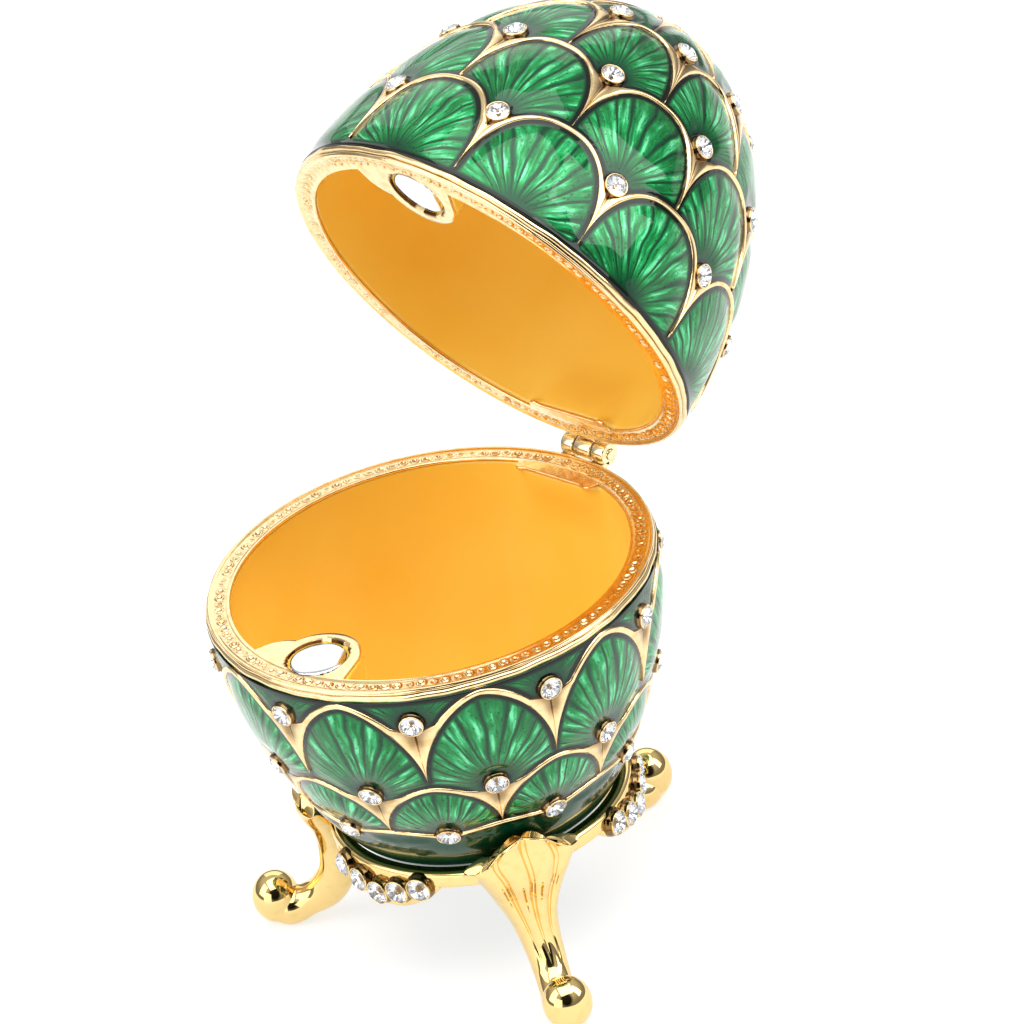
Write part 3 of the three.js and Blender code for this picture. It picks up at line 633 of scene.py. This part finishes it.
# Opaque orange enamel: even colour, wet gloss, slightly wavy where it pooled.
def orangeEnamel():
    material, tree, shader = newMaterial("orangeOpaqueEnamel", Roughness=0.5, Specular_IOR_Level=0.1,
                                         Coat_Weight=1.0, Coat_Roughness=0.03, Coat_IOR=1.5)
    place3 = addNode(tree, "ShaderNodeTexCoord").outputs["Object"]
    pool = addNode(tree, "ShaderNodeTexNoise", {"Scale": 70.0, "Detail": 2.0}, {"Vector": place3})  # 14 mm
    colour = addNode(tree, "ShaderNodeValToRGB", links={0: pool.outputs[0]},
                     stops=((0.3, "#FCCB4A"), (0.7, "#FED65C")))
    tree.links.new(colour.outputs[0], shader.inputs["Base Color"])
    swell = addNode(tree, "ShaderNodeTexNoise", {"Scale": 110.0, "Detail": 1.0}, {"Vector": place3})  # 9 mm
    bump = addNode(tree, "ShaderNodeBump", {"Strength": 0.25, "Distance": 0.0006},
                   {"Height": swell.outputs[0]})
    tree.links.new(bump.outputs[0], shader.inputs["Normal"])
    tree.links.new(bump.outputs[0], shader.inputs["Coat Normal"])
    return material


crystal = {"radius": 1.1, "girdle": 0.5, "table": 0.6, "star": 0.83, "starRise": 0.52, "crown": 0.36,
           "pavilion": 0.62, "sides": 8, "lean": 0.05}
# A cup is painted dark brown below its lip, as painted shade.
cup = {"segments": 24, "paintedShade": 0.8, "paintedShadeBelow": 0.4,
       "profile": [(0, -0.45), (1.45, -0.45), (1.38, -0.05), (1.26, 0.15), (1.2, 0.36), (1.21, 0.5),
                   (1.18, 0.56), (1.12, 0.56), (1.09, 0.5), (1.07, 0.36), (0.9, 0.05), (0, -0.1)]}


def local(at, out, side, up, points):  # local (side, up, out) coordinates to the box's own
    points = np.asarray(points, float)
    return at + points[:, :1] * side + points[:, 1:2] * up + points[:, 2:] * out


def turned(profile, segments):  # a profile (radius, height) spun about the third axis
    profile = np.array(profile, float)
    a = evenAngles(segments)
    r, h = profile[:, :1], profile[:, 1:]
    points = np.stack([r * np.cos(a), r * np.sin(a), h + 0 * a], -1)
    return points.reshape(-1, 3), gridFaces(len(profile), segments, wrapColumns=True)


# A brilliant cut: table, star, kite and girdle facets over a mirrored cone.
def brilliant(scale, spin):
    n, c = crystal["sides"], crystal
    radius = c["radius"] * scale
    a = evenAngles(n) + spin
    b, g = a + np.pi / n, evenAngles(2 * n) + spin

    def circle(angles, r, h):
        return np.stack([r * np.cos(angles), r * np.sin(angles), np.full_like(angles, h)], -1)

    top = c["girdle"] + c["crown"] * radius
    mid = c["girdle"] + c["crown"] * radius * c["starRise"]
    points = np.concatenate([circle(a, c["table"] * radius, top), circle(b, c["star"] * radius, mid),
                             circle(g, radius, c["girdle"]),
                             [[0, 0, c["girdle"] - c["pavilion"] * radius]]])
    k = np.arange(n)
    nxt, star, low = (k + 1) % n, n + k, 2 * n
    faces = [list(k)]
    faces += np.stack([k, star, nxt], -1).tolist()
    faces += np.stack([k, n + (k - 1) % n, low + 2 * k, star], -1).tolist()
    faces += np.stack([star, low + 2 * k, low + 2 * k + 1], -1).tolist()
    faces += np.stack([star, low + 2 * k + 1, low + (2 * k + 2) % (2 * n)], -1).tolist()
    crownFaces = len(faces)
    m = np.arange(2 * n)
    faces += np.stack([low + m, np.full_like(m, 4 * n), low + (m + 1) % (2 * n)], -1).tolist()
    return points, faces, [0] * crownFaces + [1] * (2 * n)


def stonePlaces(way):
    places = [skinFrame(azimuth, row["sStone"], way) for row in scaleRows[way] if "stone" in row
              for azimuth in stoneAzimuths(row)]
    if way > 0:
        tip = np.array([0, 0, egg["widestZ"] + egg["lidHeight"] + 0.6])
        places.append((tip, np.array([0, 0, 1.0]), np.array([1.0, 0, 0]), np.array([0, 1.0, 0])))
    return places


def crystalSet(name, places, body, half, nodes, gold, scale=1.0, seed=1):
    rng = np.random.default_rng(seed)
    cups, stones, marks, paintedShades = [], [], [], []
    for at, out, side, up in places:
        tilt = rng.normal(0, crystal["lean"], 2)
        lean = out + tilt[0] * side + tilt[1] * up
        lean /= np.linalg.norm(lean)
        points, faces = turned(np.array(cup["profile"]) * [scale, 1], cup["segments"])
        cups.append((local(at, out, side, up, points), faces))
        # Painted shade: the cup's sides below its lip turn dark brown.
        paintedShades.append(np.where(points[:, 2] < cup["paintedShadeBelow"], cup["paintedShade"], 0.0))
        points, faces, slots = brilliant(scale, rng.uniform(0, 1))
        stones.append((local(at, lean, side, up, points), faces))
        marks += slots
    makePiece(name + "Cups", *joinParts(cups), gold, body, half, "casting_gold",
              {"deep": np.concatenate(paintedShades)})
    stonePiece = makePiece(name + "Crystals", *joinParts(stones), clearCrystal, body, half, "crystal",
                           backing=(silverFoil, marks))
    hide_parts(*nodes)


apex = {"top": 34.4, "drop": 0.75, "lip": 0.12, "root": 31.5}


def apexCap():
    across = np.linspace(0, 1, 12)
    dome = [((egg["cap"] - apex["lip"]) * x, apex["top"] - apex["drop"] * x ** 2) for x in across]
    side = [(egg["cap"], apex["top"] - apex["drop"] - apex["lip"]), (egg["cap"], apex["root"])]
    points, faces = turned([*dome, *side, (0, apex["root"])], 64)
    makePiece("lidApexCap", points, faces, castGold, "lid", "lid", "casting_gold")


def magnetDisc(half, way, body, node):
    m = magnet
    face, back, edge = m["face"], m["recess"] + m["thick"] - 0.05, m["seen"]
    profile = [(0, face), (1.6, face + 0.01), (edge - 0.3, face + 0.03), (edge - 0.08, face + 0.12),
               (edge, face + 0.3), (edge, back), (0, back)]
    points, faces = turned([(r, z * way) for r, z in profile], 72)
    points = points + polar(m["centre"], m["azimuth"], 0.0)
    piece = makePiece(half + "Magnet", points, faces, brightNickel, body, half, "magnet_nickel")
    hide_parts(node)


hinge = {"knuckle": 1.2, "edge": 0.1, "lid": 2.2, "outer": 1.6, "play": 0.15, "leafDown": 0.9,
         "leafThick": 0.7, "leafEnd": 19.4, "bevel": 0.00008, "pin": 0.6, "pinEnd": 0.45, "pinOut": 0.2}


def alongX(profile, segments=40):  # a profile (radius, x) spun about the hinge's axis
    points, faces = turned(profile, segments)
    return np.stack([points[:, 2], points[:, 0] + hingeY, points[:, 1]], -1), faces


def knuckle(x0, x1):
    r, e = hinge["knuckle"], hinge["edge"]
    return alongX([(0, x0), (r - e, x0), (r, x0 + e), (r, x1 - e), (r - e, x1), (0, x1)])


def plate(x0, x1, y0, y1, z0, z1):
    corners = np.array([[x, y, z] for x in (x0, x1) for y in (y0, y1) for z in (z0, z1)], float)
    faces = [[0, 1, 3, 2], [4, 6, 7, 5], [0, 4, 5, 1], [2, 3, 7, 6], [0, 2, 6, 4], [1, 5, 7, 3]]
    return corners, faces


def hingeLeaf(half, way, spans, body, node):
    h = hinge
    reach = h["lid"] / 2 + h["play"] + h["outer"]
    z = sorted((way * h["leafDown"], way * (h["leafDown"] + h["leafThick"])))
    parts = [plate(-reach, reach, h["leafEnd"], hingeY - h["knuckle"] - 0.15, *z)]
    for x0, x1 in spans:
        parts.append(knuckle(x0, x1))
        parts.append(plate(x0, x1, h["leafEnd"] + 0.5, hingeY - 0.3, way * 0.55, way * 1.18))
    piece = makePiece(half + "HingeLeaf", *joinParts(parts), paleGold, body, half, "hinge_gold")
    bevel = piece.modifiers.new("softEdges", "BEVEL")
    bevel.width, bevel.segments, bevel.limit_method = h["bevel"], 2, "ANGLE"
    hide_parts(node)


stand = {
    "ring": (13.9, 15.3, -26.1, 1.7), "floor": -41.0, "azimuths": (-60, 60, 180), "rows": 88, "around": 144,
    "uneven": ((0, 0), (-1.5, -0.4), (0, -1.0)),  # each leg's turn in degrees and reach in mm
    # a leg's middle line: radius, height, half depth and half width
    "line": [(17.5, -22.1, 0.45, 4.9), (17.25, -23.2, 0.95, 5.9), (16.9, -24.6, 1.6, 6.0),
             (16.5, -26.4, 1.95, 5.0), (16.0, -29.0, 1.75, 3.7), (15.9, -32.0, 1.8, 2.5),
             (16.35, -35.0, 1.9, 2.0), (18.0, -37.4, 1.9, 1.8), (20.2, -38.7, 1.7, 1.8),
             (22.2, -39.3, 2.0, 2.1), (24.0, -39.1, 1.6, 1.6)],
    # along that line: where the flat top, the flutes and the scalloped tip fade, and the foot shifts
    "flat": (3.6, 0.0), "fluted": (7.4, 3.0), "tip": (2.6, 0.0), "shifted": (5.5, 8.5),
    "flutes": 1.1, "fluteShare": 0.85, "tips": 0.6, "sideDrop": 3.3, "curl": 0.35, "sway": 0.006,
    "ball": (23.6, -38.2, 2.5, 2.4, 2.75), "ballGrid": (33, 48)}


def spline(values, t):  # a smooth curve through evenly numbered values
    v = np.asarray(values, float)
    v = np.concatenate([[2 * v[0] - v[1]], v, [2 * v[-1] - v[-2]]])
    i = np.clip(t.astype(int), 0, len(v) - 4)
    f = (t - i)[:, None]
    a, b, c, d = v[i], v[i + 1], v[i + 2], v[i + 3]
    bend, twist = 2 * a - 5 * b + 4 * c - d, 3 * b - a - 3 * c + d
    return 0.5 * (2 * b + (c - a) * f + bend * f ** 2 + twist * f ** 3)


# A leg: sections square to its middle line, outer side fluted with four lobes that
# fade towards the ankle, wrapped round the egg's axis.
def leg(azimuth, seed):
    rng = np.random.default_rng(seed)
    n, m = stand["rows"], stand["around"]
    t = np.linspace(0, len(stand["line"]) - 1, n)
    line = spline(stand["line"], t)
    r0, z0, depth, width = line.T
    dr, dz = np.gradient(r0), np.gradient(z0)
    size = np.hypot(dr, dz)
    outR, outZ = -dz / size, dr / size
    phi = evenAngles(m)
    u = np.cos(phi)[None]
    outer = np.sin(phi)[None] > 0
    fade = smooth(*stand["flat"], t)[:, None]
    groove = (smooth(*stand["fluted"], t) * stand["fluteShare"])[:, None]
    flute = np.abs(np.sin(2 * np.pi * u)) ** 0.55 - 0.7
    rounded = np.abs(np.sin(phi))[None] * depth[:, None]
    flat = depth[:, None] * (1 - np.abs(u) ** 5) ** 0.8
    bulge = flat * fade + rounded * (1 - fade) + flute * stand["flutes"] * groove * (1 - np.abs(u) ** 6)
    bulge = np.where(outer, bulge, -rounded)
    drop = smooth(*stand["tip"], t)[:, None] * (np.abs(np.sin(2 * np.pi * u)) ** 0.6 * stand["tips"]
                                              - np.abs(u) ** 1.6 * stand["sideDrop"])
    curl = np.exp(-(t / 0.7) ** 2)[:, None] * stand["curl"]
    lean, reach = stand["uneven"][seed]
    r = r0[:, None] + outR[:, None] * bulge + curl + reach * smooth(*stand["shifted"], t)[:, None]
    z = z0[:, None] + outZ[:, None] * bulge + drop
    sway = stand["sway"] * np.sin(t * 1.7 + rng.uniform(0, 6))[:, None]
    az = math.radians(azimuth + lean) + u * width[:, None] / r + sway
    points = polar(r, az, np.maximum(z, stand["floor"]))
    ends = [list(range(m))[::-1], list(range((n - 1) * m, n * m))]
    return points.reshape(-1, 3), gridFaces(n, m, wrapColumns=True) + ends


def toeBall(azimuth, number):
    r, z, across, out, up = stand["ball"]
    lean, reach = stand["uneven"][number]
    azimuth, r = azimuth + lean, r + reach
    rows, columns = stand["ballGrid"]
    v, a = np.meshgrid(np.linspace(0, np.pi, rows), evenAngles(columns), indexing="ij")
    x, y = across * np.sin(v) * np.cos(a), out * np.sin(v) * np.sin(a) + r
    c, s = math.cos(math.radians(azimuth)), math.sin(math.radians(azimuth))
    height = np.maximum(z + up * np.cos(v), stand["floor"])
    points = np.stack([x * c + y * s, x * s - y * c, height], -1)
    return points.reshape(-1, 3), gridFaces(rows, columns, wrapColumns=True)


swag = {"stones": 5, "step": 9.3, "seat": 15.5, "scale": 1.08, "endZ": -27.6, "middleZ": -28.9,
        "inner": 14.1, "outer": 15.2, "top": -26.9, "endBack": -28.0, "middleBack": -30.8, "span": 26}


def swagPlate(middle):
    turn = np.linspace(-1, 1, 61)
    bottom = swag["endBack"] + (swag["middleBack"] - swag["endBack"]) * (1 - turn ** 2) ** 0.9
    az = math.radians(middle) + turn * math.radians(swag["span"])
    section = [(swag["inner"], 0), (swag["outer"], 0), (swag["outer"] + 0.05, 0.5), (swag["outer"], 0.93),
               (swag["outer"] - 0.3, 1), (swag["inner"] + 0.3, 1), (swag["inner"], 0.93)]
    points = [polar(r, az, swag["top"] + (bottom - swag["top"]) * k) for r, k in section]
    n = len(turn)
    ends = [[i * n for i in range(len(section))], [i * n + n - 1 for i in range(len(section))][::-1]]
    return np.array(points).reshape(-1, 3), gridFaces(len(section), n, wrapRows=True) + ends


def swagPlaces(middle):
    places = []
    for i in range(swag["stones"]):
        off = i - (swag["stones"] - 1) / 2
        az = math.radians(middle + off * swag["step"])
        z = swag["middleZ"] + (swag["endZ"] - swag["middleZ"]) * abs(off) * 2 / (swag["stones"] - 1)
        out = polar(1.0, az, 0.0)
        side = np.array([math.cos(az), math.sin(az), 0])
        places.append((out * swag["seat"] + [0, 0, z], out, side, np.array([0, 0, 1.0])))
    return places


def standParts():
    inner, outer, top, tall = stand["ring"]
    bend = 0.45
    corner = [(bend * (1 - math.cos(a)), bend * (1 - math.sin(a))) for a in np.linspace(0, math.pi / 2, 5)]
    profile = [(inner, top), *[(outer - x, top - y) for x, y in corner[::-1]],
               *[(outer - x, top - tall + y) for x, y in corner], (inner, top - tall), (inner, top)]
    ringPoints, ringFaces = turned(profile, 144)
    parts = [(ringPoints, ringFaces)]
    for i, azimuth in enumerate(stand["azimuths"]):
        parts += [leg(azimuth, i), toeBall(azimuth, i)]
    parts += [swagPlate(a) for a in (0, 120, 240)]
    return joinParts(parts)


greenGlass = greenEnamel()
orangeGlass = orangeEnamel()
# The casting's worn champagne plate, the stand's brighter one, the hinge's paler one.
castGold = castingGold("champagneGoldPlate", "#FBDDA8", "#EFC88A", 0.16)
standGold = castingGold("brightGoldPlate", "#F2D38F", "#EACB86", 0.07)
paleGold = castingGold("paleGoldPlate", "#F8E3B8", "#EBCD92", 0.14)
# Nickel-plated magnets, and lead crystal over a silver foil that sends the light back.
brightNickel = newMaterial("brightNickelPlate", Metallic=1.0, Roughness=0.12,
                           Base_Color=linear("#E4E7EC"))[0]
clearCrystal = newMaterial("leadCrystal", Roughness=0.0, IOR=1.56, Transmission_Weight=1.0,
                           Base_Color=linear("#FFFFFF"))[0]
silverFoil = newMaterial("silverFoil", Metallic=0.8, Roughness=0.1, Base_Color=linear("#F6F8FC"))[0]
print("materials made")

for half, way, body, shellNode in (("bowl", -1, "base", "base_shell"), ("lid", 1, "lid", "lid_shell")):
    points, faces, fields = enamelSkin(way)
    skin = makePiece(half + "GreenEnamel", points, faces, greenGlass, body, half, "green_enamel", fields)
    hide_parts(shellNode)
    for ending, maker in (("GoldLines", goldNet), ("Rim", rimRing)):
        points, faces, hollow = maker(way)
        makePiece(half + ending, points, faces, castGold, body, half, "casting_gold", {"deep": hollow})
    makePiece(half + "OrangeLining", *liningSkin(way), orangeGlass, body, half, "orange_enamel")
    prefix = "base" if half == "bowl" else "lid"
    names = [f"{prefix}_stone_{row}_{i:02d}" for row in (1, 2) for i in range(1, 11)]
    names += ["lid_stone_apex"] * (half == "lid")
    crystalSet(half, stonePlaces(way), body, half, names, castGold, seed=20 + way)
    magnetDisc(half, way, body, prefix + "_magnet")
    print(half, "made")

apexCap()
outer0 = hinge["lid"] / 2 + hinge["play"]
outer1 = outer0 + hinge["outer"]
hingeLeaf("bowl", -1, [(-outer1, -outer0), (outer0, outer1)], "base", "hinge_leaf_base")
hingeLeaf("lid", 1, [(-hinge["lid"] / 2, hinge["lid"] / 2)], "lid", "hinge_leaf_lid")
pinEnd, chamfer = outer1 + hinge["pinOut"], 0.12
pinSide = [(0, pinEnd), (hinge["pinEnd"], pinEnd), (hinge["pin"], pinEnd - chamfer)]
pin = makePiece("hingePin", *alongX([(r, -x) for r, x in pinSide] + pinSide[::-1], 24), paleGold,
                "base", "bowl", "hinge_gold")
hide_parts("hinge_pin")
standPiece = makePiece("stand_legs_and_ring", *standParts(), standGold, "base", "bowl", "stand_gold")
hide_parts("stand")
for name, middle in (("front", 0), ("right", 120), ("left", 240)):
    crystalSet("swag_" + name, swagPlaces(middle), "base", "bowl", ["swag_stones_" + name], standGold,
               swag["scale"], seed=40 + middle)
print("hinge, stand and swags made")

def bearing(azimuth, elevation):  # the direction, in degrees, from the box outwards
    return Vector(polar(math.cos(math.radians(elevation)), math.radians(azimuth),
                        math.sin(math.radians(elevation))))


# A light table: white acrylic lit from below, so that shadows stay faint.
floorMaterial = newMaterial("whiteAcrylicLightTable", Roughness=0.9, Base_Color=linear("#B4B4B4"),
                            Specular_IOR_Level=0.0, Emission_Color=(1, 1, 1, 1), Emission_Strength=0.66)[0]
floorMesh = bpy.data.meshes.new("floor")
reach = 6.0
floorMesh.from_pydata([(x * reach, y * reach, 0) for x, y in ((-1, -1), (1, -1), (1, 1), (-1, 1))], [],
                      [[0, 1, 2, 3]])
floorMesh.materials.append(floorMaterial)
floor = bpy.data.objects.new("floor", floorMesh)
bpy.context.collection.objects.link(floor)

bpy.context.scene.view_settings.view_transform = "Standard"
world = bpy.data.worlds.new("whiteStudio")
bpy.context.scene.world = world
world.use_nodes = True
# Grey walls that darken towards the table, under a lighter ceiling.
skyTree = world.node_tree
sky = skyTree.nodes["Background"]
direction = addNode(skyTree, "ShaderNodeTexCoord").outputs["Generated"]
height = addNode(skyTree, "ShaderNodeSeparateXYZ", links={0: direction}).outputs[2]
walls = addNode(skyTree, "ShaderNodeValToRGB", links={0: height},
                stops=((0.0, 0.22), (0.25, 0.3), (0.6, 0.6), (1.0, 0.7))).outputs[0]
# The room is dark behind the camera, which gold facing it mirrors as brown.
view = {"azimuth": 48.30, "elevation": 30.41, "roll": -12.31, "shiftX": 8.08, "shiftY": 5.30,
        "distance": 880.0, "lens": 316.4}
back = bearing(view["azimuth"], view["elevation"])
towards = addNode(skyTree, "ShaderNodeVectorMath", {1: back}, {0: direction}, operation="DOT_PRODUCT")
room = addNode(skyTree, "ShaderNodeValToRGB", links={0: towards.outputs["Value"]},
               stops=((0.84, 1.0), (0.93, 0.03))).outputs[0]
dimmed = addNode(skyTree, "ShaderNodeMix", {0: 1.0}, {6: walls, 7: room}, data_type="RGBA",
                 blend_type="MULTIPLY")
skyTree.links.new(dimmed.outputs[2], sky.inputs["Color"])
sky.inputs["Strength"].default_value = 1.0

aim = Vector((axisX, axisY + 0.006, 0.045))


def softbox(name, azimuth, elevation, distance, width, height, power):
    lamp = bpy.data.lights.new(name, "AREA")
    lamp.shape, lamp.size, lamp.size_y, lamp.energy = "RECTANGLE", width, height, power
    back = bearing(azimuth, elevation)
    item = bpy.data.objects.new(name, lamp)
    item.location = aim + back * distance
    item.rotation_euler = (-back).to_track_quat("-Z", "Y").to_euler()
    bpy.context.collection.objects.link(item)


softbox("softboxTop", 60, 78, 0.65, 0.75, 0.75, 4.3)
softbox("softboxBack", 225, 30, 0.75, 0.7, 0.5, 1.1)
softbox("softboxFront", 5, 12, 0.7, 0.5, 0.4, 0.95)
softbox("softboxLeft", -30, 30, 0.65, 0.4, 0.55, 1.2)
softbox("softboxRight", 125, 35, 0.65, 0.3, 0.5, 1.5)

azimuth, roll = math.radians(view["azimuth"]), math.radians(view["roll"])
level = Vector((math.cos(azimuth), math.sin(azimuth), 0))
upright = back.cross(level)
right = level * math.cos(roll) + upright * math.sin(roll)
up = upright * math.cos(roll) - level * math.sin(roll)
target = right * view["shiftX"] + up * view["shiftY"]
camera = bpy.data.objects.new("camera", bpy.data.cameras.new("camera"))
camera.data.lens, camera.data.sensor_width = view["lens"], 36
origin = (target + back * view["distance"]) / 1000 + Vector((axisX, axisY, partingZ))
camera.matrix_world = Matrix.Translation(origin) @ Matrix((right, up, back)).transposed().to_4x4()
bpy.context.collection.objects.link(camera)
bpy.context.scene.camera = camera

print("scene ready")
